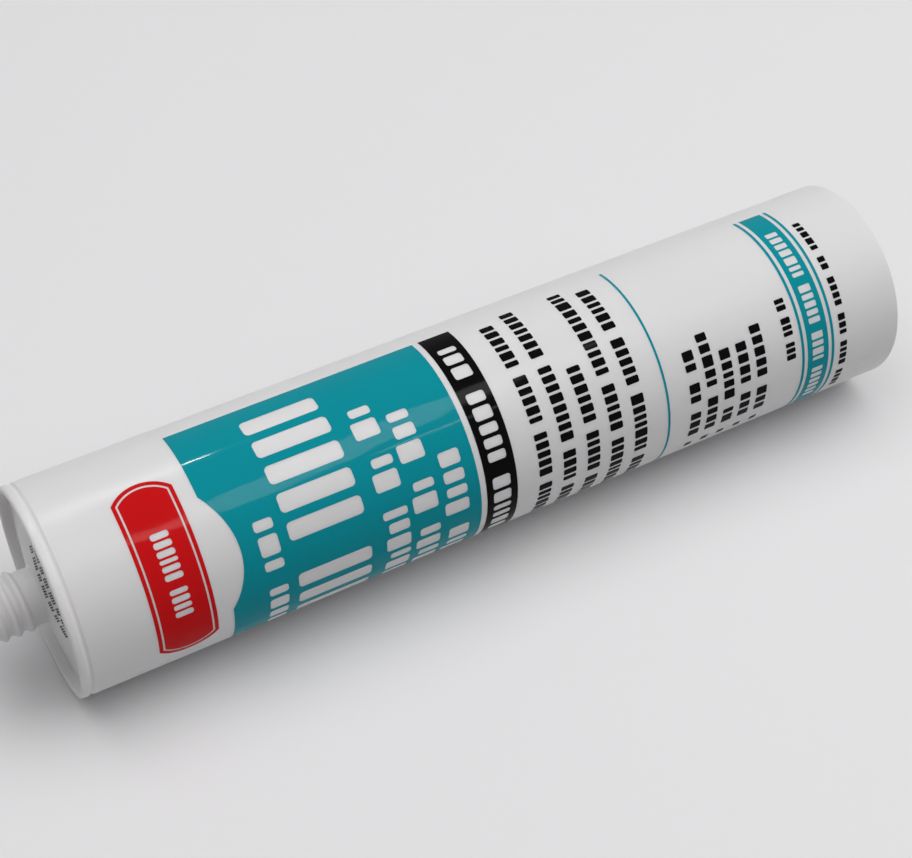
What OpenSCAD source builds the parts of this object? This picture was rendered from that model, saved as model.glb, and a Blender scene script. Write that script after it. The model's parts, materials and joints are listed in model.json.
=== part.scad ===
// Sealant cartridge for a caulking gun, standing on its open rear rim.
// The label's middle faces -Y and the threaded neck points up, along +Z.

/* [Barrel] */
// Outside diameter of the barrel
barrel_od = 50; // [40:0.5:60]
// Wall thickness of the barrel
barrel_wall = 1.6; // [1.2:0.1:2.4]
// Length from the rear rim to the front edge of the head
barrel_len = 216; // [190:1:240]
// Rounding of the barrel's outer edge at the rear
rear_round = 0.4; // [0.2:0.1:0.6]
// How much the bore opens at the rear mouth, on the radius
mouth_ease = 0.2; // [0.1:0.05:0.4]
// Depth of the wider rear mouth
mouth_depth = 7; // [4:0.5:10]
// Length over which the mouth narrows to the bore
mouth_taper = 1; // [0.5:0.1:2]
// Bevel of the mouth's inner edge
mouth_lead = 0.3; // [0.1:0.1:0.5]

/* [Head] */
// Radial thickness of the raised rim round the recessed face
rim_wall = 1.5; // [1:0.1:3]
// Rounding of the rim's outer front edge
rim_round = 0.6; // [0.2:0.1:0.9]
// Depth of the recessed face below the rim, at the face's outer edge
recess_depth = 2.6; // [1.5:0.1:5]
// How far the recessed face, a shallow cone, rises from there to the neck
head_rise = 2.6; // [0:0.1:4]
// Thickness of the end wall
head_wall = 2.2; // [1.6:0.1:4]
// Distance from the rim's front edge back to the middle of the shallow groove
groove_back = 2.5; // [2:0.1:6]
// Width of the shallow groove
groove_w = 1.6; // [0.8:0.1:2.4]
// Depth of the shallow groove
groove_depth = 0.35; // [0.1:0.05:0.6]

/* [Neck] */
// Diameter over the thread's crests
thread_od = 14.6; // [12:0.1:18]
// Depth of the thread
thread_depth = 0.8; // [0.4:0.1:1.2]
// Pitch of the thread
thread_pitch = 3; // [2:0.25:4]
// Height of the closed tip above the foot of the neck
neck_len = 17.4; // [13:0.2:28]
// Plain stretch between the thread's end and the tip
tip_plain = 2.6; // [2:0.1:5]
// Bore of the neck
neck_bore = 9; // [6:0.5:9.5]
// Thickness of the wall that closes the tip, cut off before use
tip_wall = 1.2; // [0.8:0.1:2]
// Rounding of the neck where it leaves the recessed face
neck_fillet = 1; // [0.4:0.1:1.5]

/* [Piston] */
// Distance from the rear rim to the piston's rear edge, with the cartridge full
piston_recess = 18.8; // [10:0.1:30]
// Length of the piston
piston_len = 18; // [14:0.5:24]
// Thickness of the piston's skirt
piston_wall = 1.4; // [1:0.1:2]
// Thickness of the piston's front wall
piston_floor = 2.2; // [1.6:0.1:3]
// Running clearance between a wiper lip and the bore, on the radius
lip_gap = 0.06; // [0.03:0.01:0.1]
// Width of a wiper lip
lip_w = 2.4; // [1.6:0.1:3]
// How far the skirt is relieved between the lips
lip_relief = 0.5; // [0.3:0.1:0.8]
// Number of stiffening ribs behind the piston's front wall
rib_count = 8; // [4:1:12]
// Height of a rib
rib_h = 2.5; // [1:0.1:4]
// Thickness of a rib
rib_t = 1.2; // [0.8:0.1:2]
// Diameter of the boss where the ribs meet
boss_d = 9; // [6:0.5:12]

/* [Print] */
// Width of the printed panel, measured round the barrel
label_w = 67.2; // [50:0.4:100]
// Bare length between the print and the head's front edge
label_head_margin = 18; // [10:0.5:30]
// Bare length between the print and the rear rim
label_rear_margin = 15.7; // [8:0.1:30]
// Thickness of the ink film as drawn
ink_t = 0.08; // [0.04:0.01:0.15]

/* [Hidden] */
$fn = 120;

shell_white = [0.90, 0.90, 0.89];
piston_white = [0.84, 0.85, 0.84];
paste_grey = [0.72, 0.73, 0.72];
teal = [0.07, 0.55, 0.62];
black = [0.05, 0.05, 0.05];
red = [0.80, 0.08, 0.10];

// Radii and heights that follow from the sizes above
barrel_r = barrel_od / 2;
bore_r = barrel_r - barrel_wall;
mouth_r = bore_r + mouth_ease;
face_z = barrel_len - recess_depth;
head_in_z = face_z - head_wall;
bore_corner = 1.2;
rim_in_r = barrel_r - rim_wall;
rim_edge = 0.2;
recess_corner = 0.6;
groove_z = barrel_len - groove_back;
root_r = thread_od / 2 - thread_depth;
neck_bore_r = neck_bore / 2;
neck_z = face_z + head_rise;
tip_z = neck_z + neck_len;
tip_bevel = 0.8;
funnel = 1.5;

// Slope of the recessed face, and the height at which the same slope inside meets the funnel
face_slope = atan(head_rise / (rim_in_r - root_r));
funnel_z = head_in_z + (bore_r - neck_bore_r - funnel) * tan(face_slope);

// The thread runs from just above the neck's foot to just below the tip
thread_lead = 1.3;
thread_start = neck_z + neck_fillet + thread_lead;
thread_end = tip_z - tip_plain - thread_pitch * 0.4;
thread_turns = (thread_end - thread_start) / thread_pitch;
thread_steps = 24;
thread_sink = 0.25;

// The piston and the paste in front of it
piston_rear_z = piston_recess;
piston_front_z = piston_recess + piston_len;
lip_r = bore_r - lip_gap;
skirt_r = lip_r - lip_relief;
cup_r = skirt_r - piston_wall;
front_play = 0.4;
front_bevel = bore_corner + front_play;
cup_floor_z = piston_front_z - piston_floor;
cup_corner = 1;
rib_reach = cup_r + piston_wall / 2;

// The print is drawn flat, as a stack that starts at the label's rear edge, and is then
// fitted to the label's width and height. Below, "low" is a foot, "high" a top, "_h" a
// height, "_pitch" a row's distance to the next and "_letter" the width of one letter.

// Heights of the rows and widths of their letters
bottom_h = 2;
bottom_letter = 1.86;
foot_text_h = 3.3;
foot_letter = 2;
small_h = 2.6;
small_letter = 1.6;
list_h = 2.9;
list_pitch = 4.75;
list_letter = 2.75;
text_h = 3.4;
text_pitch = 6.5;
text_letter = 2.33;
band_text_h = 4.6;
band_letter = 3.46;
sub_h = 5.2;
sub_pitch = 7.55;
sub_letter = 4.18;
headline_h = 18.1;
headline_letter = 6.62;
name_h = 4.6;
name_letter = 4.3;
mark_text_h = 4.2;
mark_letter = 1.85;

// Gaps in the stack
row_gap = 1.8;
block_gap = 5.85;
band_gap = 1.5;
sub_gap = 3.1;
headline_gap = 4.7;
name_gap = 2.5;
dip_gap = 4.1;
mark_gap = 3.8;

// Thin lines, bands and the red mark, which is a bar with bowed ends
foot_line = 0.75;
foot_gap = 0.95;
foot_h = 6.15;
ring_h = 0.6;
band_h = 8;
dip_half = 14;
dip_depth = 4.6;
mark_h = 14;
mark_half = 22;
mark_end_r = 9.5;

// Distances from the panel's side to the rows and to their square bullets
field_inset = 4.4;
text_inset = 5.2;
text_bullet_inset = 1.2;
list_inset = 13.7;
list_bullet_inset = 7.8;
bullet = 1.9;

// Rows of words, the row nearest the head first, each word given by its number of letters
bottom_counts = [4, 4, 3, 4, 2, 5];
foot_counts = [6, 4, 5, 7];
small_counts = [3, 3, 2];
list_counts = [[3, 2, 2], [4, 5], [2, 5], [3, 4], [3, 5]];
text_counts = [[6, 5, 5, 6], [4, 4, 8, 7], [4, 5, 6], [8, 5, 11], [4, 7, 5, 6]];
band_counts = [6, 5, 3];
sub_counts = [[6, 2, 2], [4, 2, 3], [3, 4]];
headline_counts = [3, 5];
name_counts = [4, 3];
mark_counts = [4, 6];

// A letter is this many parts wide, and the last of them is the gap behind it
letter_parts = 6;
// A headline's letters are slimmer: so many of the parts are the gap
headline_gap_parts = 2;

// The stack, from the rear edge of the label to the head edge
foot_line_low = bottom_h + row_gap;
foot_low = foot_line_low + foot_line + foot_gap;
foot_high = foot_low + foot_h;
head_line_low = foot_high + foot_gap;
small_low = head_line_low + foot_line + row_gap;
list_low = small_low + small_h + block_gap;
ring_low = rows_top(list_low, list_counts, list_pitch, list_h) + block_gap;
ring_high = ring_low + ring_h;
text_low = ring_high + block_gap;
band_low = rows_top(text_low, text_counts, text_pitch, text_h) + block_gap;
band_high = band_low + band_h;
field_low = band_high + band_gap;
sub_low = field_low + sub_gap;
headline_low = rows_top(sub_low, sub_counts, sub_pitch, sub_h) + headline_gap;
name_low = headline_low + headline_h + name_gap;
field_high = name_low + name_h + dip_gap + dip_depth;
mark_low = field_high + mark_gap;
mark_z = mark_low + mark_h / 2;

panel_w = 2 * field_inset + row_w(headline_counts, headline_letter);
panel_h = mark_low + mark_h;
label_z = label_rear_margin;
label_h = barrel_len - label_head_margin - label_rear_margin;
scale_w = label_w / panel_w;
scale_h = label_h / panel_h;

// Top of a block of rows
function rows_top(low, rows, pitch, h) = low + (len(rows) - 1) * pitch + h;

// Letters, and gaps one letter wide between words, that come before word i of a row
function letters_before(row, i) = i == 0 ? 0 : letters_before(row, i - 1) + row[i - 1] + 1;

// Width of a row of words
function row_w(row, letter) = letter * (letters_before(row, len(row)) - 1 - 1 / letter_parts);

// An arc of the given number of steps, from one angle to another
function arc(cx, cy, r, from, to, steps = 4) =
    [for (i = [0 : steps]) let (a = from + (to - from) * i / steps) [cx + r * cos(a), cy + r * sin(a)]];

// A smooth dip in a straight side, for the groove
function dip(r, z, w, d, steps = 8) =
    [for (i = [0 : steps]) let (t = i / steps) [r - d * (1 - cos(360 * t)) / 2, z + w * (t - 0.5)]];

function cartridge_profile() = concat(
    [[mouth_r + mouth_lead, 0]],
    arc(barrel_r - rear_round, rear_round, rear_round, -90, 0),
    dip(barrel_r, groove_z, groove_w, groove_depth),
    arc(barrel_r - rim_round, barrel_len - rim_round, rim_round, 0, 90),
    [[rim_in_r + rim_edge, barrel_len], [rim_in_r, barrel_len - rim_edge]],
    arc(rim_in_r - recess_corner, face_z + recess_corner * (1 + sin(face_slope)) / cos(face_slope),
        recess_corner, 0, -90 - face_slope),
    arc(root_r + neck_fillet, neck_z + neck_fillet * (1 - sin(face_slope)) / cos(face_slope),
        neck_fillet, -90 - face_slope, -180),
    [[root_r, tip_z - tip_bevel], [root_r - tip_bevel, tip_z], [0, tip_z]],
    [[0, tip_z - tip_wall], [neck_bore_r, tip_z - tip_wall]],
    [[neck_bore_r, funnel_z + funnel], [neck_bore_r + funnel, funnel_z]],
    [[bore_r - bore_corner, head_in_z + bore_corner * tan(face_slope)], [bore_r, head_in_z - bore_corner]],
    [[bore_r, mouth_depth + mouth_taper], [mouth_r, mouth_depth], [mouth_r, mouth_lead]]
);

// The thread's ridge, swept along its helix and faded out at both ends
ridge = [[-thread_sink, -0.40], [0.5, -0.27], [0.9, -0.15], [1, 0], [0.9, 0.15], [0.5, 0.27], [-thread_sink, 0.40]];
ridge_n = len(ridge);
ridge_steps = ceil(thread_turns * thread_steps);

function fade(t) = let (e = min(t, 1 - t) * thread_turns * 2) min(1, max(0.02, e));

function ridge_point(i, k) =
    let (
        t = i / ridge_steps,
        a = 360 * thread_turns * t,
        f = fade(t),
        p = ridge[k],
        r = root_r + (p[0] > 0 ? p[0] * thread_depth * f - thread_sink * (1 - f) : p[0] - thread_sink * (1 - f)),
        z = thread_start + thread_pitch * (thread_turns * t + p[1] * (0.3 + 0.7 * f))
    )
    [r * cos(a), r * sin(a), z];

module thread_ridge() {
    points = [for (i = [0 : ridge_steps]) for (k = [0 : ridge_n - 1]) ridge_point(i, k)];
    sides = [for (i = [0 : ridge_steps - 1]) for (k = [0 : ridge_n - 1]) let (m = (k + 1) % ridge_n)
        each [
            [i * ridge_n + k, i * ridge_n + m, (i + 1) * ridge_n + k],
            [i * ridge_n + m, (i + 1) * ridge_n + m, (i + 1) * ridge_n + k]
        ]];
    first = [for (k = [1 : ridge_n - 2]) [0, k + 1, k]];
    last = [for (k = [1 : ridge_n - 2]) let (b = ridge_steps * ridge_n) [b, b + k, b + k + 1]];
    polyhedron(points = points, faces = concat(sides, first, last), convexity = 6);
}

module cartridge() {
    color(shell_white) {
        rotate_extrude() polygon(cartridge_profile());
        thread_ridge();
    }
}

// The piston is a cup, open to the rear, with a wiper lip at each end
module piston() {
    color(piston_white) {
        rotate_extrude() polygon([
            [0, piston_front_z],
            [lip_r - front_bevel, piston_front_z],
            [lip_r, piston_front_z - front_bevel],
            [lip_r, piston_front_z - front_bevel - lip_w],
            [skirt_r, piston_front_z - front_bevel - lip_w - lip_relief],
            [skirt_r, piston_rear_z + lip_w + lip_relief],
            [lip_r, piston_rear_z + lip_w],
            [lip_r, piston_rear_z],
            [lip_r - piston_wall, piston_rear_z],
            [cup_r, piston_rear_z + lip_w + lip_relief],
            [cup_r, cup_floor_z - cup_corner],
            [cup_r - cup_corner, cup_floor_z],
            [0, cup_floor_z]
        ]);
        intersection() {
            for (i = [0 : rib_count - 1])
                rotate([0, 0, 360 * i / rib_count])
                    translate([0, -rib_t / 2, cup_floor_z - rib_h])
                        cube([rib_reach, rib_t, rib_h + piston_floor / 2]);
            cylinder(r = rib_reach, h = piston_front_z);
        }
        translate([0, 0, cup_floor_z - rib_h]) cylinder(d = boss_d, h = rib_h + piston_floor / 2);
    }
}

// The paste fills the bore from the piston to the head, and the neck
module sealant() {
    color(paste_grey)
        rotate_extrude() polygon([
            [0, piston_front_z],
            [bore_r, piston_front_z],
            [bore_r, head_in_z - bore_corner],
            [bore_r - bore_corner, head_in_z + bore_corner * tan(face_slope)],
            [neck_bore_r + funnel, funnel_z],
            [neck_bore_r, funnel_z + funnel],
            [neck_bore_r, tip_z - tip_wall],
            [0, tip_z - tip_wall]
        ]);
}

// Places on the panel, turned into an angle round the barrel and a height
function turn(x) = x * scale_w / barrel_r * 180 / PI;
function rise(y) = label_z + y * scale_h;

// A patch of ink between two heights and two places round the barrel. A cutter reaches
// past both faces of the ink.
module patch(x0, x1, y0, y1, cut = false) {
    over = cut ? ink_t : 0;
    translate([0, 0, rise(y0)])
        rotate([0, 0, turn(x0) - 90])
            rotate_extrude(angle = turn(x1) - turn(x0))
                translate([barrel_r - over, 0]) square([ink_t + 2 * over, rise(y1) - rise(y0)]);
}

// Stripe across the whole panel
module stripe(low, h) {
    patch(-panel_w / 2, panel_w / 2, low, low + h);
}

// One row of words, each a bar
module words(low, h, letter, left, row, cut = false) {
    for (i = [0 : len(row) - 1])
        let (x = left + letter * letters_before(row, i))
            patch(x, x + letter * (row[i] - 1 / letter_parts), low, low + h, cut);
}

// One row of words in the middle of the panel
module centred_words(low, h, letter, row, cut = false) {
    words(low, h, letter, -row_w(row, letter) / 2, row, cut);
}

// Rows of words at an even pitch, with their left ends at a given inset
module block(low, h, pitch, letter, inset, rows, cut = false) {
    for (i = [0 : len(rows) - 1])
        words(low + (len(rows) - 1 - i) * pitch, h, letter, inset - panel_w / 2, rows[i], cut);
}

// Square bullets in front of a block's rows
module bullets(low, h, pitch, inset, rows) {
    for (i = [0 : len(rows) - 1])
        let (x = inset - panel_w / 2, y = low + i * pitch + (h - bullet) / 2)
            patch(x, x + bullet, y, y + bullet);
}

// The headline, a tall slim bar for each letter
module headline() {
    for (i = [0 : len(headline_counts) - 1])
        for (k = [0 : headline_counts[i] - 1])
            let (x = field_inset - panel_w / 2 + headline_letter * (letters_before(headline_counts, i) + k))
                patch(x, x + headline_letter * (1 - headline_gap_parts / letter_parts),
                      headline_low, headline_low + headline_h, cut = true);
}

// The dip in the teal field's head edge, as a round cutter pointing out of the label
module field_dip() {
    half = barrel_r * sin(turn(dip_half));
    depth = dip_depth * scale_h;
    r = (half * half + depth * depth) / (2 * depth);
    translate([0, 0, rise(field_high) - depth + r])
        rotate([90, 0, 0]) cylinder(r = r, h = barrel_od);
}

module teal_print() {
    color(teal) {
        difference() {
            stripe(field_low, field_high - field_low);
            field_dip();
            words(name_low, name_h, name_letter, field_inset - panel_w / 2, name_counts, cut = true);
            headline();
            block(sub_low, sub_h, sub_pitch, sub_letter, field_inset, sub_counts, cut = true);
        }
        stripe(ring_low, ring_h);
        stripe(head_line_low, foot_line);
        difference() {
            stripe(foot_low, foot_h);
            centred_words(foot_low + (foot_h - foot_text_h) / 2, foot_text_h, foot_letter, foot_counts, cut = true);
        }
        stripe(foot_line_low, foot_line);
    }
}

module black_print() {
    color(black) {
        difference() {
            stripe(band_low, band_h);
            centred_words(band_low + (band_h - band_text_h) / 2, band_text_h, band_letter, band_counts, cut = true);
        }
        block(text_low, text_h, text_pitch, text_letter, text_inset, text_counts);
        bullets(text_low, text_h, text_pitch, text_bullet_inset, text_counts);
        block(list_low, list_h, list_pitch, list_letter, list_inset, list_counts);
        bullets(list_low, list_h, list_pitch, list_bullet_inset, list_counts);
        centred_words(small_low, small_h, small_letter, small_counts);
        centred_words(0, bottom_h, bottom_letter, bottom_counts);
    }
}

// The red mark, a bar with bowed ends
module red_print() {
    end_x = mark_half - mark_end_r;
    inner_x = barrel_r * sin(turn(end_x));
    color(red)
        difference() {
            intersection() {
                patch(-mark_half - bullet, mark_half + bullet, mark_low, mark_low + mark_h);
                union() {
                    for (side = [-1, 1])
                        translate([0, 0, rise(mark_z)])
                            rotate([90, 0, turn(side * end_x)])
                                cylinder(r = mark_end_r * scale_w, h = barrel_od);
                    translate([-inner_x, -barrel_od, rise(mark_z) - mark_h])
                        cube([2 * inner_x, barrel_od, 2 * mark_h]);
                }
            }
            centred_words(mark_z - mark_text_h / 2, mark_text_h, mark_letter, mark_counts, cut = true);
        }
}

cartridge();
piston();
sealant();
teal_print();
black_print();
red_print();
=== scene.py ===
"""Looks of a full sealant cartridge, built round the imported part.

The cartridge stands on its open rear rim with the middle of the label facing -Y. The stage is set
as for a cartridge that lies on its side: the floor is a plane along the barrel. Sizes are in
millimetres unless a name or a comment says otherwise.
"""
import json
import math
import random

import bmesh
import bpy
import numpy as np
from mathutils import Matrix, Vector
from mathutils.geometry import delaunay_2d_cdt


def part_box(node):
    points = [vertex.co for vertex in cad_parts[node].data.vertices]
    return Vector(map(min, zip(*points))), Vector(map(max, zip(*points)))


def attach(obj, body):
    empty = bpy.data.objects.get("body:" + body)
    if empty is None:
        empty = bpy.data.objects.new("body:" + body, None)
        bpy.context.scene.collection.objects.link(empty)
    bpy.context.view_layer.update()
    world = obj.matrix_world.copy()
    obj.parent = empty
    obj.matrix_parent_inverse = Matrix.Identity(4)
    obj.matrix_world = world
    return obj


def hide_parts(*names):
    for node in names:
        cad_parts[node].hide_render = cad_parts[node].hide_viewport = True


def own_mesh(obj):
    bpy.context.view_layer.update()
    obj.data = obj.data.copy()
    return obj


MM = 0.001
TURN = 2 * math.pi
# Two lengths that differ by less than this are taken as the same
NEAR = 1e-6

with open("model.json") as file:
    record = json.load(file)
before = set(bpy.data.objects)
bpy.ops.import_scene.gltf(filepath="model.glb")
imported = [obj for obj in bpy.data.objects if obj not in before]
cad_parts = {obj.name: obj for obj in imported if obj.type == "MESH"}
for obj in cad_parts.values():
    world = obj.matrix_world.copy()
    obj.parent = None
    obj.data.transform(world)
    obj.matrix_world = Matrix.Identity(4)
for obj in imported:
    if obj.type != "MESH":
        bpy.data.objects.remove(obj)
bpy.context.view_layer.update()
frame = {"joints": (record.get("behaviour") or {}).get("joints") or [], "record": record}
mounts = {m["name"]: m for m in frame["record"]["mounts"]}
slide = next(j for j in frame["joints"] if j["name"] == "piston_slide")


def node_size(name):
    """Radius, foot and top of a CAD node."""
    low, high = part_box(name)
    return high.x / MM, low.z / MM, high.z / MM


# Sizes from the frame
barrel_r = mounts["barrel"]["dims"]["r_mm"]
rim_z = mounts["front_rim"]["pos_m"][2] / MM
mouth_r = mounts["rear_mouth"]["dims"]["r_mm"]
paste_r, paste_foot, paste_top = node_size("sealant")
lip_r, piston_foot, piston_top = node_size("piston")
tip_z = node_size("cartridge")[2]
paste_end = slide["deforming_nodes"][0]["fixed_end_z_m"] / MM

# Barrel
rear_round = 0.4
mouth_depth = 7
mouth_taper = 1
mouth_lead = 0.3

# Head
rim_wall = 1.5
rim_round = 0.75
recess_depth = 2.6
head_rise = 2.6
groove_back = 2.5
groove_w = 1.6
groove_depth = 0.35
bore_corner = 1.2
recess_corner = 0.6

# Neck
root_r = 6.5
neck_bore_r = 4.5
neck_fillet = 1
funnel = 1.5
tip_bevel = 0.8
thread_depth = 0.8
thread_pitch = 3
# Half the thread's width at its top and at its foot, as shares of the pitch
thread_top_half = 0.06
thread_foot_half = 0.42
thread_lead = 1.3
thread_plain = 3.8
gate_r = 1.6
gate_depth = 0.35

# Piston
piston_wall = 1.4
piston_floor = 2.2
lip_w = 2.4
lip_relief = 0.5
front_play = 0.4
rib_count = 8
rib_h = 2.5
rib_t = 1.2
rib_round = 0.3
boss_r = 4.5
boss_dimple_r = 1.2
boss_dimple_depth = 0.5

# Clearance of the paste from the walls round it
paste_gap = 0.02

# Derived
rim_in_r = barrel_r - rim_wall
face_z = rim_z - recess_depth
neck_z = face_z + head_rise
face_slope = head_rise / (rim_in_r - root_r)
funnel_z = paste_end + (paste_r - neck_bore_r - funnel) * face_slope
thread_start = neck_z + neck_fillet + thread_lead
thread_turns = (tip_z - thread_plain - thread_start) / thread_pitch


# Solids of revolution

ARC_STEP_DEG = 15
# How far from a corner a straight stretch gets its ring, and the shortest stretch that is kept
HOLD_RING = 0.25
SHORTEST = 1e-4
# The share of a straight stretch that the rounding of one corner may take up
LONGEST_REACH = 0.49


def rounded(corners):
    """Rounds a path's corners. Each corner is (radius, height, rounding); the path starts and ends
    at its first and last corner. Straight stretches get a ring near each end, so that shading
    stays flat along them."""
    path = []
    for i, (x, z, fillet) in enumerate(corners):
        here = Vector((x, z))
        if fillet == 0 or i in (0, len(corners) - 1):
            path.append(here)
            continue
        before = Vector(corners[i - 1][:2]) - here
        after = Vector(corners[i + 1][:2]) - here
        half = before.angle(after) / 2
        reach = min(fillet / math.tan(half), LONGEST_REACH * before.length, LONGEST_REACH * after.length)
        radius = reach * math.tan(half)
        inward = (before.normalized() + after.normalized()).normalized()
        middle = here + inward * radius / math.sin(half)
        start = here + before.normalized() * reach - middle
        end = here + after.normalized() * reach - middle
        bend = start.angle(end)
        steps = max(2, round(math.degrees(bend) / ARC_STEP_DEG))
        for k in range(steps + 1):
            share = k / steps
            spoke = start * math.sin((1 - share) * bend) + end * math.sin(share * bend)
            path.append(middle + spoke / math.sin(bend))
    held = [path[0]]
    for a, b in zip(path, path[1:]):
        run = (b - a).length
        if run > 4 * HOLD_RING:
            way = (b - a) / run
            held += [a + way * HOLD_RING, b - way * HOLD_RING]
        if run > SHORTEST:
            held.append(b)
    return [tuple(p) for p in held]


def turned(name, path, steps, radius_at=None):
    """Turns a path about the Z axis into a mesh. Points on the axis become one vertex.
    radius_at(radius, height, angle) may change the radius round the turn."""
    mesh = bmesh.new()
    rings = []
    for r, z in path:
        if r < NEAR:
            rings.append([mesh.verts.new((0, 0, z * MM))])
            continue
        ring = []
        for k in range(steps):
            a = TURN * k / steps
            here = radius_at(r, z, a) if radius_at else r
            ring.append(mesh.verts.new((here * math.cos(a) * MM, here * math.sin(a) * MM, z * MM)))
        rings.append(ring)
    for low, high in zip(rings, rings[1:]):
        for k in range(steps):
            m = (k + 1) % steps
            corners = [low[k % len(low)], low[m % len(low)], high[m % len(high)], high[k % len(high)]]
            face = list(dict.fromkeys(corners))
            if len(face) > 2:
                mesh.faces.new(face)
    return finished(name, mesh)


def finished(name, mesh, sharp_deg=40):
    """Makes an object of a bmesh, outward and smooth, with edges sharper than an angle kept."""
    bmesh.ops.recalc_face_normals(mesh, faces=mesh.faces)
    for face in mesh.faces:
        face.smooth = True
    for edge in mesh.edges:
        edge.smooth = edge.calc_face_angle(0) < math.radians(sharp_deg)
    data = bpy.data.meshes.new(name)
    mesh.to_mesh(data)
    mesh.free()
    obj = bpy.data.objects.new(name, data)
    bpy.context.scene.collection.objects.link(obj)
    return obj


def smoothstep(low, high, x):
    """0 below low, 1 above high, and a smooth rise between them."""
    t = min(1, max(0, (x - low) / (high - low)))
    return t * t * (3 - 2 * t)


def thread_height(z, angle):
    """Height of the thread over the neck's root, swept along a right-hand helix. It fades out over
    half a turn at each end."""
    turn = angle / TURN
    along = (z - thread_start) / thread_pitch
    crest = turn + round(along - turn)
    fade = smoothstep(0, 0.5, min(crest, thread_turns - crest))
    return thread_depth * fade * (1 - smoothstep(thread_top_half, thread_foot_half, abs(along - crest)))


def cartridge_shell():
    """Barrel, head, neck and tip, moulded in one: down the bore, round the rear rim, up the outside,
    over the head and along the neck to the tip."""
    inside = [
        (0, paste_top, 0),
        (neck_bore_r, paste_top, 0.3),
        (neck_bore_r, funnel_z + funnel, 0.3),
        (neck_bore_r + funnel, funnel_z, 0.3),
        (paste_r, paste_end, bore_corner),
        (paste_r, mouth_depth + mouth_taper, 0.5),
        (mouth_r, mouth_depth, 0.5),
        (mouth_r, 0, mouth_lead),
    ]
    groove_z = rim_z - groove_back
    groove_steps = 14
    outside = [(barrel_r, 0, rear_round), (barrel_r, groove_z - groove_w / 2, 0)]
    for k in range(1, groove_steps):
        share = k / groove_steps
        depth = groove_depth * (1 - math.cos(TURN * share)) / 2
        outside.append((barrel_r - depth, groove_z + groove_w * (share - 0.5), 0))
    outside += [
        (barrel_r, groove_z + groove_w / 2, 0),
        (barrel_r, rim_z, rim_round),
        (rim_in_r, rim_z, 0.5),
        (rim_in_r, face_z, recess_corner),
        (root_r, neck_z, neck_fillet),
    ]
    # The rings that carry the thread: how close they lie, and how far from the fillet and the bevel
    ring_pitch, foot_margin, top_margin = 0.14, 0.1, 0.4
    neck_foot = neck_z + neck_fillet + foot_margin
    neck_top = tip_z - tip_bevel - top_margin
    ring_count = round((neck_top - neck_foot) / ring_pitch)
    neck = [(root_r, neck_foot + (neck_top - neck_foot) * k / ring_count) for k in range(1, ring_count + 1)]
    tip = [
        (root_r, neck_top, 0),
        (root_r, tip_z, tip_bevel),
        (gate_r, tip_z, 0.3),
        (gate_r * 0.7, tip_z - gate_depth, 0.2),
        (0, tip_z - gate_depth, 0),
    ]

    def radius_at(r, z, a):
        on_neck = abs(r - root_r) < NEAR and z > neck_foot - foot_margin / 2
        return r + thread_height(z, a) if on_neck else r

    path = rounded(inside + outside + [(root_r, neck_foot, 0)]) + neck + rounded(tip)[1:]
    return turned("cartridge_shell", path, 240, radius_at)


def piston_cup():
    """The piston, a cup open to the rear with two wiper lips, its ribs and its boss."""
    skirt_r = lip_r - lip_relief
    cup_r = skirt_r - piston_wall
    bevel = bore_corner + front_play
    floor_z = piston_top - piston_floor
    cup = turned("piston_cup", rounded([
        (0, piston_top, 0),
        (lip_r - bevel, piston_top, 0.4),
        (lip_r, piston_top - bevel, 0.4),
        (lip_r, piston_top - bevel - lip_w, 0.2),
        (skirt_r, piston_top - bevel - lip_w - lip_relief, 0.3),
        (skirt_r, piston_foot + lip_w + lip_relief, 0.3),
        (lip_r, piston_foot + lip_w, 0.2),
        (lip_r, piston_foot, 0.3),
        (lip_r - piston_wall, piston_foot, 0.3),
        (cup_r, piston_foot + lip_w + lip_relief, 0.4),
        (cup_r, floor_z, 1),
        (0, floor_z, 0),
    ]), 144)
    mesh = bmesh.new()
    mesh.from_mesh(cup.data)
    rib_foot = floor_z - rib_h
    rib_top = floor_z + piston_floor / 2
    reach = cup_r + piston_wall / 2
    profile = block(-rib_t / 2, rib_t / 2, rib_foot, rib_top, rib_round)
    for k in range(rib_count):
        turn = Matrix.Rotation(TURN * k / rib_count, 4, "Z")
        near, far = ([mesh.verts.new(turn @ Vector((x, y, z)) * MM) for y, z in profile]
                     for x in (boss_r / 2, reach))
        mesh.faces.new(near)
        mesh.faces.new(far)
        for m in range(len(profile)):
            mesh.faces.new((near[m - 1], near[m], far[m], far[m - 1]))
    boss = turned("boss", rounded([
        (0, rib_top, 0),
        (boss_r, rib_top, 0),
        (boss_r, rib_foot, 0.4),
        (boss_dimple_r, rib_foot, 0.3),
        (boss_dimple_r - 0.3, rib_foot + boss_dimple_depth, 0.2),
        (0, rib_foot + boss_dimple_depth, 0),
    ]), 72)
    mesh.from_mesh(boss.data)
    bpy.data.objects.remove(boss)
    bpy.data.objects.remove(cup)
    return finished("piston_cup", mesh)


def paste_barrel():
    """The paste between the piston and the head, up to the plane that the piston can reach."""
    wall_r = paste_r - paste_gap
    return turned("paste_barrel", rounded([
        (0, paste_foot + paste_gap, 0),
        (wall_r, paste_foot + paste_gap, 0.1),
        (wall_r, paste_end - bore_corner, 0.1),
        (paste_r - bore_corner, paste_end - paste_gap, 0.1),
        (0, paste_end - paste_gap, 0),
    ]), 144)


def paste_neck():
    """The paste under the head's cone and in the neck, which the piston doesn't reach."""
    wall_r = neck_bore_r - paste_gap
    return turned("paste_neck", rounded([
        (0, paste_end, 0),
        (paste_r - bore_corner - paste_gap, paste_end, 0.05),
        (neck_bore_r + funnel, funnel_z - paste_gap, 0.2),
        (wall_r, funnel_z + funnel, 0.3),
        (wall_r, paste_top - paste_gap, 0.2),
        (0, paste_top - paste_gap, 0),
    ]), 96)


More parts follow.
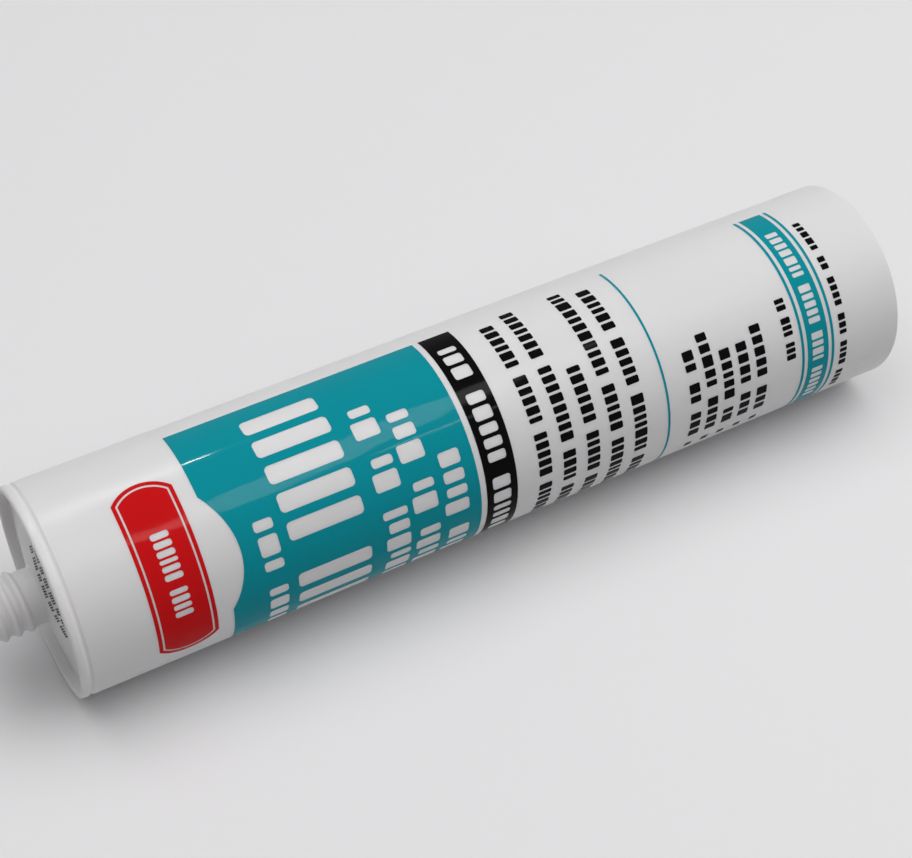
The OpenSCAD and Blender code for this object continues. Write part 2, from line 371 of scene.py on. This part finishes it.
# The print, laid out flat as a stack that starts at the label's rear edge. A name that ends in _low
# is a foot, _h a height, _pitch a row's distance to the next and _letter the width of one letter.

label_w = 67.2
label_head_margin = 18
label_rear_margin = 15.7

bottom_h, bottom_letter = 2, 1.86
foot_text_h, foot_letter = 3.3, 2
small_h, small_letter = 2.6, 1.6
list_h, list_pitch, list_letter = 2.9, 4.75, 2.75
text_h, text_pitch, text_letter = 3.4, 6.5, 2.33
band_text_h, band_letter = 4.6, 3.46
sub_h, sub_pitch, sub_letter = 5.2, 7.55, 4.18
headline_h, headline_letter, headline_corner = 18.1, 6.62, 1.1
name_h, name_letter = 4.6, 4.3
mark_text_h, mark_letter = 4.2, 1.85

row_gap, block_gap, band_gap = 1.8, 5.85, 1.5
sub_gap, headline_gap, name_gap = 3.1, 4.7, 2.5
dip_gap, mark_gap = 4.1, 3.8

foot_line, foot_gap, foot_h = 0.75, 0.95, 6.15
ring_h, band_h = 0.6, 8
dip_half, dip_depth = 14, 4.6
mark_h, mark_half, mark_end_r = 14, 22, 9.5
keyline_in, keyline_w = 0.9, 0.45

field_inset, text_inset, text_bullet_inset = 4.4, 5.2, 1.2
list_inset, list_bullet_inset, bullet = 13.7, 7.8, 1.9

# Rows of words, the row nearest the head first, each word given by its number of letters
bottom_counts = [4, 4, 3, 4, 2, 5]
foot_counts = [6, 4, 5, 7]
small_counts = [3, 3, 2]
list_counts = [[3, 2, 2], [4, 5], [2, 5], [3, 4], [3, 5]]
text_counts = [[6, 5, 5, 6], [4, 4, 8, 7], [4, 5, 6], [8, 5, 11], [4, 7, 5, 6]]
band_counts = [6, 5, 3]
sub_counts = [[6, 2, 2], [4, 2, 3], [3, 4]]
headline_counts = [3, 5]
name_counts = [4, 3]
mark_counts = [4, 6]

# A letter is this many parts wide, and the last part of a word is blank. Gaps are in such parts too.
LETTER_PARTS = 6
HEADLINE_GAP_PARTS = 2
BLOCK_GAP_PARTS = 1.7
# Relative widths of the blocks in a word, and the chance that a block is a tall one
BLOCK_WIDTHS = (0.7, 0.95, 1.0, 1.1, 1.35)
TALL_CHANCE = 0.3

chance = random.Random(7)


def rows_top(low, rows, pitch, h):
    """Top of a block of rows."""
    return low + (len(rows) - 1) * pitch + h


def row_w(row, letter):
    """Width of a row of words, with a gap of one letter between words."""
    return letter * (sum(row) + len(row) - 1 - 1 / LETTER_PARTS)


foot_line_low = bottom_h + row_gap
foot_low = foot_line_low + foot_line + foot_gap
foot_high = foot_low + foot_h
head_line_low = foot_high + foot_gap
small_low = head_line_low + foot_line + row_gap
list_low = small_low + small_h + block_gap
ring_low = rows_top(list_low, list_counts, list_pitch, list_h) + block_gap
text_low = ring_low + ring_h + block_gap
band_low = rows_top(text_low, text_counts, text_pitch, text_h) + block_gap
field_low = band_low + band_h + band_gap
sub_low = field_low + sub_gap
headline_low = rows_top(sub_low, sub_counts, sub_pitch, sub_h) + headline_gap
name_low = headline_low + headline_h + name_gap
field_high = name_low + name_h + dip_gap + dip_depth
mark_low = field_high + mark_gap
mark_z = mark_low + mark_h / 2

panel_w = 2 * field_inset + row_w(headline_counts, headline_letter)
panel_h = mark_low + mark_h
panel_left = -panel_w / 2
scale_w = label_w / panel_w
scale_h = (rim_z - label_head_margin - label_rear_margin) / panel_h

# How far an ink film stands out of the barrel and is bedded in it, and the width of its facets
INK_RISE = 0.03
INK_SINK = 0.02
FACET = math.radians(2) * barrel_r


def block(x0, x1, y0, y1, r, steps=3):
    """Outline of a block with rounded corners."""
    r = min(r, 0.45 * (x1 - x0), 0.45 * (y1 - y0))
    corners = ((x1 - r, y1 - r, 0), (x0 + r, y1 - r, 90), (x0 + r, y0 + r, 180), (x1 - r, y0 + r, 270))
    loop = []
    for cx, cy, start in corners:
        for k in range(steps + 1):
            a = math.radians(start + 90 * k / steps)
            loop.append((cx + r * math.cos(a), cy + r * math.sin(a)))
    return loop


def letters(x0, x1, low, h, count, letter, rise=0.0, corner=0.10):
    """Splits a word into one plain block a letter, of uneven width with an even gap between them.
    With a rise, the first block and some others are that share taller. corner is a share of h."""
    gap = letter * BLOCK_GAP_PARTS / LETTER_PARTS
    shares = [chance.choice(BLOCK_WIDTHS) for _ in range(count)]
    unit = (x1 - x0 - gap * (count - 1)) / sum(shares)
    loops = []
    x = x0
    for k, share in enumerate(shares):
        tall = rise and (k == 0 or chance.random() < TALL_CHANCE)
        top = low + h * (1 + (rise if tall else 0))
        loops.append(block(x, x + share * unit, low, top, corner * h))
        x += share * unit + gap
    return loops


def words(low, h, letter, left, row, **style):
    """A row of words from a left end."""
    loops = []
    x = left
    for count in row:
        end = x + letter * (count - 1 / LETTER_PARTS)
        loops += letters(x, end, low, h, count, letter, **style)
        x += letter * (count + 1)
    return loops


def centred_words(low, h, letter, row, **style):
    """A row of words in the middle of the panel."""
    return words(low, h, letter, -row_w(row, letter) / 2, row, **style)


def text_rows(low, h, pitch, letter, inset, counts, **style):
    """A block of rows, the row nearest the head first."""
    loops = []
    for k, row in enumerate(counts):
        row_low = low + (len(counts) - 1 - k) * pitch
        loops += words(row_low, h, letter, panel_left + inset, row, **style)
    return loops


def bullets(low, h, pitch, inset, counts):
    """Square bullets in front of a block's rows."""
    x = panel_left + inset
    lows = [low + k * pitch + (h - bullet) / 2 for k in range(len(counts))]
    return [block(x, x + bullet, y, y + bullet, r=0.15) for y in lows]


def stripe(low, h):
    """A stripe across the whole panel."""
    return block(panel_left, -panel_left, low, low + h, r=0.05)


def headline():
    """Tall slim blocks, one for each letter."""
    gap = headline_letter * HEADLINE_GAP_PARTS / LETTER_PARTS
    top = headline_low + headline_h
    x = panel_left + field_inset
    loops = []
    for count in headline_counts:
        for k in range(count):
            left = x + k * headline_letter
            right = left + headline_letter - gap
            loops.append(block(left, right, headline_low, top, headline_corner, steps=6))
        x += (count + 1) * headline_letter
    return loops


def angle_at(x):
    """The angle round the barrel of a place across the panel."""
    return x * scale_w / barrel_r


def field_outline():
    """The teal field, whose head edge has a round dip in its middle."""
    half = barrel_r * math.sin(angle_at(dip_half))
    depth = dip_depth * scale_h
    r = (half * half + depth * depth) / (2 * depth)
    loop = [(-panel_left, field_low), (-panel_left, field_high)]
    steps = 40
    for k in range(steps + 1):
        x = dip_half * (1 - 2 * k / steps)
        across = barrel_r * math.sin(angle_at(x))
        loop.append((x, field_high - (depth - r + math.sqrt(r * r - across * across)) / scale_h))
    return loop + [(panel_left, field_high), (panel_left, field_low)]


def bowed_bar(shrink=0.0):
    """Outline of the red mark, a bar with bowed ends, drawn in by a margin."""
    end_x = mark_half - mark_end_r
    half = mark_h / 2 - shrink
    r = mark_end_r - shrink
    span = math.asin(half / r)
    steps = 16
    loop = []
    for end in (1, -1):
        for k in range(steps + 1):
            a = span * (2 * k / steps - 1)
            bow = barrel_r * math.asin(r * math.cos(a) / barrel_r)
            loop.append((end * (end_x + bow), mark_z + end * r * math.sin(a)))
    return loop


def inside_loops(points, loops):
    """Which points lie inside an odd number of the loops."""
    odd = np.zeros(len(points), bool)
    x, y = points[:, 0], points[:, 1]
    for loop in loops:
        a = np.array(loop)
        b = np.roll(a, -1, axis=0)
        ax, ay, bx, by = (v[:, None] for v in (a[:, 0], a[:, 1], b[:, 0], b[:, 1]))
        crosses = (ay > y) != (by > y)
        with np.errstate(divide="ignore", invalid="ignore"):
            at = ax + (y - ay) * (bx - ax) / (by - ay)
        odd ^= (np.sum(crosses & (x < at), axis=0) % 2).astype(bool)
    return odd


def facets(loops):
    """Triangles that fill loops by the even-odd rule, cut along the barrel at even steps so that
    they can be wrapped round it."""
    points, edges = [], []
    for loop in loops:
        first = len(points)
        points += loop
        edges += [(first + k, first + (k + 1) % len(loop)) for k in range(len(loop))]
    xs = [p[0] for p in points]
    ys = [p[1] for p in points]
    for k in range(math.ceil(min(xs) / FACET), math.floor(max(xs) / FACET) + 1):
        edges.append((len(points), len(points) + 1))
        points += [(k * FACET, min(ys) - 0.1), (k * FACET, max(ys) + 0.1)]
    flat, _, faces, *_ = delaunay_2d_cdt([Vector(p) for p in points], edges, [], 0, 1e-5)
    flat = np.array([tuple(p) for p in flat])
    faces = np.array([f for f in faces if len(f) == 3])
    keep = inside_loops(flat[faces].mean(axis=1), loops)
    return flat, faces[keep]


def wrap(x, y, rise):
    """A place on the panel, wrapped round the barrel."""
    a = angle_at(x)
    r = (barrel_r + rise) * MM
    return r * math.sin(a), -r * math.cos(a), (label_rear_margin + y * scale_h) * MM


def film(name, regions):
    """Ink film on the barrel: for each region a thin closed solid. A region is a list of loops, an
    outline first and then its windows."""
    verts, faces, normals = [], [], []
    for loops in regions:
        flat, triangles = facets(loops)
        used = sorted(set(triangles.ravel()))
        order = {v: k for k, v in enumerate(used)}
        top, low = len(verts), len(verts) + len(used)
        for rise in (INK_RISE, -INK_SINK):
            verts += [wrap(*flat[v], rise) for v in used]
        rim = {}
        for face in triangles:
            a, b, c = (order[v] for v in face)
            angles = [angle_at(flat[v][0]) for v in face]
            ways = [Vector((math.sin(t), -math.cos(t), 0)) for t in angles]
            faces += [(top + a, top + b, top + c), (low + c, low + b, low + a)]
            normals += ways + [-w for w in reversed(ways)]
            for edge in ((a, b), (b, c), (c, a)):
                if edge[::-1] in rim:
                    del rim[edge[::-1]]
                else:
                    rim[edge] = True
        for a, b in rim:
            faces.append((top + a, low + a, low + b, top + b))
            corner = Vector(verts[top + a])
            down = Vector(verts[low + a]) - corner
            along = Vector(verts[top + b]) - corner
            normals += [down.cross(along).normalized()] * 4
    data = bpy.data.meshes.new(name)
    data.from_pydata(verts, [], faces)
    data.shade_smooth()
    data.normals_split_custom_set(normals)
    data.update()
    obj = bpy.data.objects.new(name, data)
    bpy.context.scene.collection.objects.link(obj)
    return obj


def teal_ink():
    """The field, the band at the label's foot, and the three thin lines."""
    field = [field_outline()]
    field += words(name_low, name_h, name_letter, panel_left + field_inset, name_counts, corner=0.16)
    field += headline()
    field += text_rows(sub_low, sub_h, sub_pitch, sub_letter, field_inset, sub_counts, corner=0.14, rise=0.18)
    foot = [stripe(foot_low, foot_h)]
    foot += centred_words(foot_low + (foot_h - foot_text_h) / 2, foot_text_h, foot_letter, foot_counts)
    lines = [(ring_low, ring_h), (head_line_low, foot_line), (foot_line_low, foot_line)]
    return film("teal_ink", [field, foot] + [[stripe(*line)] for line in lines])


def black_ink():
    """The black band, and the loose rows with their bullets."""
    band = [stripe(band_low, band_h)]
    band_text_low = band_low + (band_h - band_text_h) / 2
    band += centred_words(band_text_low, band_text_h, band_letter, band_counts, corner=0.14)
    loose = text_rows(text_low, text_h, text_pitch, text_letter, text_inset, text_counts)
    loose += bullets(text_low, text_h, text_pitch, text_bullet_inset, text_counts)
    loose += text_rows(list_low, list_h, list_pitch, list_letter, list_inset, list_counts)
    loose += bullets(list_low, list_h, list_pitch, list_bullet_inset, list_counts)
    loose += centred_words(small_low, small_h, small_letter, small_counts)
    loose += centred_words(0, bottom_h, bottom_letter, bottom_counts)
    return film("black_ink", [band] + [[loop] for loop in loose])


def red_ink():
    """The mark near the head, with a plain line along its edge."""
    mark = [bowed_bar(), bowed_bar(keyline_in), bowed_bar(keyline_in + keyline_w)]
    mark += centred_words(mark_z - mark_text_h / 2, mark_text_h, mark_letter, mark_counts, corner=0.14)
    return film("red_ink", [mark])


# Code dots on the head's cone

dot_r = 0.27
dot_h = 0.05
dot_pitch = 0.6
dot_wander = 0.05
dot_taper = 0.8
code_facing = math.radians(-90 + 16)
code_line_r = (8.3, 11.5)
code_cells = ((5, 3, 4, 5, 3, 5, 3), (4, 5, 3, 5, 4, 3, 5, 4))
cell_gap = 1.3
cell_rows = 4


def face_point(x, y):
    """A place on the cone-shaped face."""
    return Vector((x, y, face_z + (rim_in_r - math.hypot(x, y)) * face_slope)) * MM


def jet_dots():
    """Two rows of plain cells of dots, jetted on the head's face between the neck and the rim."""
    out = Vector((math.cos(code_facing), math.sin(code_facing)))
    across = Vector((-out.y, out.x))
    slope = Matrix.Rotation(math.atan(face_slope), 4, "Y")
    mesh = bmesh.new()
    for foot, line in zip(code_line_r, code_cells):
        s = -(sum(line) + cell_gap * (len(line) - 1)) * dot_pitch / 2
        for count in line:
            for _ in range(count):
                for k in range(cell_rows):
                    wander = Vector([chance.uniform(-dot_wander, dot_wander) for _ in range(2)])
                    spot = out * (foot + k * dot_pitch) + across * s + wander
                    lean = Matrix.Rotation(math.atan2(spot.y, spot.x), 4, "Z") @ slope
                    bmesh.ops.create_cone(
                        mesh, segments=14, cap_ends=True, radius1=dot_r * MM * chance.uniform(0.9, 1.1),
                        radius2=dot_r * dot_taper * MM, depth=dot_h * MM,
                        matrix=Matrix.Translation(face_point(*spot)) @ lean)
                s += dot_pitch
            s += cell_gap * dot_pitch
    return finished("jet_dots", mesh, sharp_deg=30)


# Materials, with lengths in metres

def new_group(name, inputs, outputs):
    """A shader node group with named sockets. Inputs are (name, kind, default), outputs (name, kind)."""
    group = bpy.data.node_groups.new(name, "ShaderNodeTree")
    for label, kind, value in inputs:
        socket = group.interface.new_socket(label, in_out="INPUT", socket_type="NodeSocket" + kind)
        socket.default_value = value
    for label, kind in outputs:
        group.interface.new_socket(label, in_out="OUTPUT", socket_type="NodeSocket" + kind)
    return group, group.nodes.new("NodeGroupInput").outputs, group.nodes.new("NodeGroupOutput").inputs


def add(tree, kind, links=None, **settings):
    """Adds a node, with its settings, and its inputs as values or as sockets to link from."""
    node = tree.nodes.new("ShaderNode" + kind)
    for key, value in settings.items():
        setattr(node, key, value)
    for key, value in (links or {}).items():
        if isinstance(value, bpy.types.NodeSocket):
            tree.links.new(value, node.inputs[key])
        else:
            node.inputs[key].default_value = value
    return node


def add_math(tree, operation, first, second):
    """Adds a Math node and gives its output."""
    return add(tree, "Math", {0: first, 1: second}, operation=operation).outputs[0]


def noise(tree, where, scale, detail, roughness=0.5):
    """Adds a noise texture and gives its grey output."""
    links = {"Vector": where, "Scale": scale, "Detail": detail, "Roughness": roughness}
    return add(tree, "TexNoise", links).outputs["Fac"]


def moulded_skin():
    """A moulded or printed surface as a normal: a slow ripple, flats drawn along the barrel as it
    left the mould, and a fine grain."""
    group, given, out = new_group(
        "moulded_skin",
        [("Ripple Scale", "Float", 60), ("Ripple", "Float", 0.02),
         ("Draw Scale", "Float", 120), ("Draw", "Float", 0.0),
         ("Grain Scale", "Float", 4000), ("Grain", "Float", 0.02)],
        [("Normal", "Vector")])
    where = add(group, "TexCoord").outputs["Object"]
    stretched = add(group, "Mapping", {"Vector": where, "Scale": (1.0, 1.0, 0.06)}).outputs[0]
    slow = noise(group, where, given["Ripple Scale"], 1.0, 0.4)
    drawn = noise(group, stretched, given["Draw Scale"], 1.5)
    fine = noise(group, where, given["Grain Scale"], 2.0, 0.6)
    ripple = add(group, "Bump", {"Height": slow, "Strength": given["Ripple"], "Distance": 0.004})
    flats = add(group, "Bump", {"Height": drawn, "Strength": given["Draw"], "Distance": 0.002,
                                "Normal": ripple.outputs["Normal"]})
    grain = add(group, "Bump", {"Height": fine, "Strength": given["Grain"], "Distance": 0.0001,
                                "Normal": flats.outputs["Normal"]})
    group.links.new(grain.outputs["Normal"], out["Normal"])
    return group


def handling():
    """Marks of handling on a new object: a patchy haze and faint hair lines, as a roughness."""
    group, given, out = new_group(
        "handling",
        [("Haze Scale", "Float", 90), ("Haze", "Float", 0.06),
         ("Hair Scale", "Float", 900), ("Hair", "Float", 0.03)],
        [("Roughness Shift", "Float")])
    where = add(group, "TexCoord").outputs["Object"]
    haze = add_math(group, "SUBTRACT", noise(group, where, given["Haze Scale"], 3.0), 0.5)
    shift = add_math(group, "MULTIPLY", haze, given["Haze"])
    streaky = {"Vector": where, "Rotation": (0.2, 0.1, 0.5), "Scale": (1.0, 1.0, 0.08)}
    lines = noise(group, add(group, "Mapping", streaky).outputs[0], given["Hair Scale"], 2.0)
    thin = add(group, "MapRange", {"Value": lines, "From Min": 0.60, "From Max": 0.75})
    hair = add_math(group, "MULTIPLY", thin.outputs[0], given["Hair"])
    group.links.new(add_math(group, "ADD", shift, hair), out["Roughness Shift"])
    return group


def tone():
    """Uneven tone: a colour that drifts halfway towards a second one in soft patches."""
    group, given, out = new_group(
        "tone",
        [("Color", "Color", (1, 1, 1, 1)), ("Drift", "Color", (1, 1, 1, 1)), ("Scale", "Float", 40)],
        [("Color", "Color")])
    where = add(group, "TexCoord").outputs["Object"]
    cloud = noise(group, where, given["Scale"], 2.0)
    ramp = add(group, "MapRange", {"Value": cloud, "From Min": 0.35, "From Max": 0.65, "To Max": 0.5})
    mix = add(group, "Mix", {"Factor": ramp.outputs[0], "A": given["Color"], "B": given["Drift"]},
              data_type="RGBA")
    group.links.new(mix.outputs["Result"], out["Color"])
    return group


SKIN, HANDLING, TONE = moulded_skin(), handling(), tone()


def use_group(tree, group, values):
    """Places a shared group in a material, with this material's values, and gives its outputs."""
    node = tree.nodes.new("ShaderNodeGroup")
    node.node_tree = group
    for key, value in values.items():
        node.inputs[key].default_value = value
    return node.outputs


def finish_of(name, color, drift, roughness, skin, marks, tone_scale=40.0, **sockets):
    """A material from the shared groups. skin and marks give the groups' own values; sockets are
    set on the Principled BSDF itself."""
    material = bpy.data.materials.new(name)
    material.use_nodes = True
    tree = material.node_tree
    shader = tree.nodes["Principled BSDF"]
    for key, value in sockets.items():
        shader.inputs[key.replace("_", " ")].default_value = value
    colours = {"Color": (*color, 1), "Drift": (*drift, 1), "Scale": tone_scale}
    base = use_group(tree, TONE, colours)["Color"]
    normal = use_group(tree, SKIN, skin)["Normal"]
    shift = use_group(tree, HANDLING, marks)["Roughness Shift"]
    tree.links.new(base, shader.inputs["Base Color"])
    tree.links.new(normal, shader.inputs["Normal"])
    tree.links.new(add_math(tree, "ADD", shift, roughness), shader.inputs["Roughness"])
    return material


def materials():
    """The finish of each material slot."""
    barrel_skin = {"Ripple Scale": 55, "Ripple": 0.05, "Draw Scale": 140, "Draw": 0.05}
    moulded = {**barrel_skin, "Grain Scale": 5200, "Grain": 0.08}
    printed = {**barrel_skin, "Grain Scale": 7000, "Grain": 0.01}
    piston_skin = {"Ripple Scale": 90, "Ripple": 0.05, "Grain Scale": 3800, "Grain": 0.15}
    paste_skin = {"Ripple Scale": 120, "Ripple": 0.15, "Grain Scale": 1500, "Grain": 0.10}
    handled = {"Haze Scale": 80, "Haze": 0.08, "Hair Scale": 900, "Hair": 0.06}
    clean = {"Haze Scale": 80, "Haze": 0.05, "Hair Scale": 900, "Hair": 0.03}
    return {
        "shell": finish_of(
            "white_polyethylene", color=(0.81, 0.797, 0.801), drift=(0.79, 0.777, 0.780),
            roughness=0.33, skin=moulded, marks=handled, Subsurface_Weight=0.6,
            Subsurface_Radius=(1.0, 0.95, 0.9), Subsurface_Scale=0.0016, Specular_IOR_Level=0.15),
        "teal_ink": finish_of(
            "teal_gloss_ink", color=(0.003, 0.298, 0.362), drift=(0.003, 0.284, 0.345),
            roughness=0.06, skin=printed, marks=clean, tone_scale=55.0, Specular_IOR_Level=0.04),
        "black_ink": finish_of(
            "black_gloss_ink", color=(0.003, 0.003, 0.0035), drift=(0.004, 0.004, 0.0045),
            roughness=0.08, skin=printed, marks=clean, tone_scale=70.0, Specular_IOR_Level=0.03),
        "red_ink": finish_of(
            "red_gloss_ink", color=(0.66, 0.007, 0.009), drift=(0.60, 0.006, 0.008),
            roughness=0.08, skin=printed, marks=clean, tone_scale=60.0, Specular_IOR_Level=0.04),
        "piston_plastic": finish_of(
            "natural_polyethylene", color=(0.70, 0.71, 0.70), drift=(0.64, 0.65, 0.64),
            roughness=0.42, skin=piston_skin, marks=handled, Subsurface_Weight=0.4,
            Subsurface_Radius=(1.0, 1.0, 1.0), Subsurface_Scale=0.0020),
        "paste": finish_of(
            "wet_paste", color=(0.62, 0.63, 0.62), drift=(0.56, 0.57, 0.56),
            roughness=0.20, skin=paste_skin, marks=clean),
    }


# Pieces on their bodies

finish = materials()


def dress(obj, body, slot, *stands_for):
    """Gives a piece its finish and its body, and hides the CAD nodes that it stands for."""
    obj.data.materials.clear()
    obj.data.materials.append(finish[slot])
    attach(obj, body)
    if stands_for:
        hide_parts(*stands_for)
    return obj


dress(cartridge_shell(), "tube", "shell", "cartridge")
dress(teal_ink(), "tube", "teal_ink", "teal_print")
dress(black_ink(), "tube", "black_ink", "black_print")
dress(red_ink(), "tube", "red_ink", "red_print")
dress(jet_dots(), "tube", "black_ink")
dress(piston_cup(), "piston", "piston_plastic", "piston")
dress(paste_neck(), "tube", "paste", "sealant")
paste = dress(paste_barrel(), "tube", "paste", "sealant")
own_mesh(paste)


# Stage, in metres. The cartridge stands, but the floor lies along its barrel and touches it, so that
# the camera sees the cartridge lying on the floor as in the photograph.

camera_at = Vector((0.12435, -0.41980, 0.26563))
camera_right = Vector((-0.26415, -0.40079, -0.87726))
camera_up = Vector((0.92653, 0.14717, -0.34622))
camera_back = Vector((0.26786, -0.90427, 0.33247))
sensor_mm = 36
focal_px = 1952.51
photo_w_px = 912

floor_up = Vector((0.8348, -0.5505, 0.0)).normalized()
rightward = (camera_right - camera_right.dot(floor_up) * floor_up).normalized()
floor_drop = barrel_r * MM
floor_half = 2.4
lamp_aim = Vector((0, 0, rim_z * MM / 2))
# How high over the floor the lamps stand that are only mirrored
highlight_up = 1.2

# The floor's colour as it is seen, directly or mirrored, and as it throws light back
FLOOR_SEEN = (0.88, 0.866, 0.876)
FLOOR_BOUNCE = (0.40, 0.40, 0.41)
# The world's strength below and above, and where it is seen past the floor
WORLD_LOW, WORLD_HIGH, WORLD_SEEN = 0.03, 0.30, 0.78
WORLD_COLOR = (0.98, 0.99, 1.0)


def turned_frame(x, y, z, at):
    """Matrix of an object with these axes at a place."""
    matrix = Matrix((x, y, z)).transposed().to_4x4()
    matrix.translation = at
    return matrix


def add_camera():
    """The photograph's camera."""
    data = bpy.data.cameras.new("camera")
    data.sensor_fit = "HORIZONTAL"
    data.sensor_width = sensor_mm
    data.lens = focal_px / photo_w_px * sensor_mm
    data.clip_start = 0.01
    camera = bpy.data.objects.new("camera", data)
    bpy.context.scene.collection.objects.link(camera)
    camera.matrix_world = turned_frame(camera_right, camera_up, camera_back, camera_at)
    bpy.context.scene.camera = camera


def add_floor():
    """A large pale plane. Its back is see-through, so that it hides nothing from below. The lamp below
    shines through it, except on what light reaches after a soft bounce."""
    mesh = bmesh.new()
    bmesh.ops.create_grid(mesh, x_segments=1, y_segments=1, size=floor_half)
    floor = finished("floor", mesh)
    floor.matrix_world = turned_frame(rightward, floor_up.cross(rightward), floor_up, -floor_up * floor_drop)
    material = bpy.data.materials.new("floor_card")
    material.use_nodes = True
    tree = material.node_tree
    shader = tree.nodes["Principled BSDF"]
    shader.inputs["Roughness"].default_value = 1
    shader.inputs["Specular IOR Level"].default_value = 0
    ray = add(tree, "LightPath").outputs
    back = add(tree, "NewGeometry").outputs["Backfacing"]
    colours = {"Factor": ray["Is Diffuse Ray"], "A": (*FLOOR_SEEN, 1), "B": (*FLOOR_BOUNCE, 1)}
    shade = add(tree, "Mix", colours, data_type="RGBA")
    tree.links.new(shade.outputs["Result"], shader.inputs["Base Color"])
    first = add_math(tree, "LESS_THAN", ray["Diffuse Depth"], 0.5)
    let_by = add_math(tree, "MULTIPLY", first, ray["Is Shadow Ray"])
    see_through = add_math(tree, "MAXIMUM", back, let_by)
    clear = add(tree, "BsdfTransparent")
    mix = add(tree, "MixShader", {0: see_through, 1: shader.outputs[0], 2: clear.outputs[0]})
    tree.links.new(mix.outputs[0], tree.nodes["Material Output"].inputs["Surface"])
    floor.data.materials.append(material)


def add_world():
    """Soft light from all round, stronger from above, and a pale ground for what sees past the floor."""
    world = bpy.data.worlds.new("studio")
    bpy.context.scene.world = world
    world.use_nodes = True
    tree = world.node_tree
    background = tree.nodes["Background"]
    background.inputs["Color"].default_value = (*WORLD_COLOR, 1)
    way = add(tree, "TexCoord").outputs["Generated"]
    lift = add(tree, "VectorMath", {0: way, 1: tuple(floor_up)}, operation="DOT_PRODUCT")
    amount = add(tree, "MapRange", {"Value": lift.outputs["Value"], "From Min": -1.0, "From Max": 1.0,
                                    "To Min": WORLD_LOW, "To Max": WORLD_HIGH})
    ray = add(tree, "LightPath").outputs
    seen = ray["Is Camera Ray"]
    for kind in ("Is Glossy Ray", "Is Transmission Ray"):
        seen = add_math(tree, "MAXIMUM", seen, ray[kind])
    strength = add(tree, "Mix", {"Factor": seen, "A": amount.outputs[0], "B": WORLD_SEEN}, data_type="FLOAT")
    tree.links.new(strength.outputs["Result"], background.inputs["Strength"])


def add_lamp(name, at, along, width, depth, watts, mirrored=False):
    """A rectangular lamp aimed at the middle of the barrel, its width turned to run along a direction.
    It either lights the object or is mirrored in it."""
    data = bpy.data.lights.new(name, "AREA")
    data.shape = "RECTANGLE"
    data.size, data.size_y = width, depth
    data.energy = watts
    lamp = bpy.data.objects.new(name, data)
    bpy.context.scene.collection.objects.link(lamp)
    z = (at - lamp_aim).normalized()
    x = (along - along.dot(z) * z).normalized()
    lamp.matrix_world = turned_frame(x, z.cross(x), z, at)
    lamp.visible_camera = False
    lamp.visible_glossy = mirrored
    lamp.visible_diffuse = not mirrored


def over_floor(up, right):
    """A place this high over the floor and this far to the viewer's right."""
    return floor_up * (up - floor_drop) + rightward * right


def mirrored_at(angle_deg, z, up):
    """The place this high over the floor whose mirror image falls on the barrel at an angle from the
    label's middle and a height along the barrel in millimetres."""
    a = math.radians(angle_deg)
    out = Vector((math.sin(a), -math.cos(a), 0))
    spot = out * barrel_r * MM + Vector((0, 0, z * MM))
    ray = (spot - camera_at).normalized().reflect(out)
    return spot + ray * (up - floor_drop - spot.dot(floor_up)) / ray.dot(floor_up)


def add_highlight(name, start, end, width, radiance):
    """A lamp whose highlight runs between two places on the barrel, each an angle and a height."""
    a = mirrored_at(*start, highlight_up)
    b = mirrored_at(*end, highlight_up)
    length = (b - a).length
    watts = radiance * math.pi * length * width
    add_lamp(name, (a + b) / 2, b - a, length, width, watts, mirrored=True)


add_camera()
add_floor()
add_world()
add_lamp("key_softbox", over_floor(up=1.3, right=0.24), rightward, width=3.0, depth=1.5, watts=21.6)
add_lamp("under_floor", over_floor(up=-1.1, right=-0.1), rightward, width=1.6, depth=1.6, watts=6.5)
add_highlight("thin_tube", start=(52, 176), end=(51, 203), width=0.03, radiance=420)
add_highlight("window", start=(22, 186), end=(34, 104), width=0.24, radiance=12)
add_highlight("window_edge", start=(20, 138), end=(20, 110), width=0.04, radiance=22)

bpy.context.scene.view_settings.view_transform = "Standard"
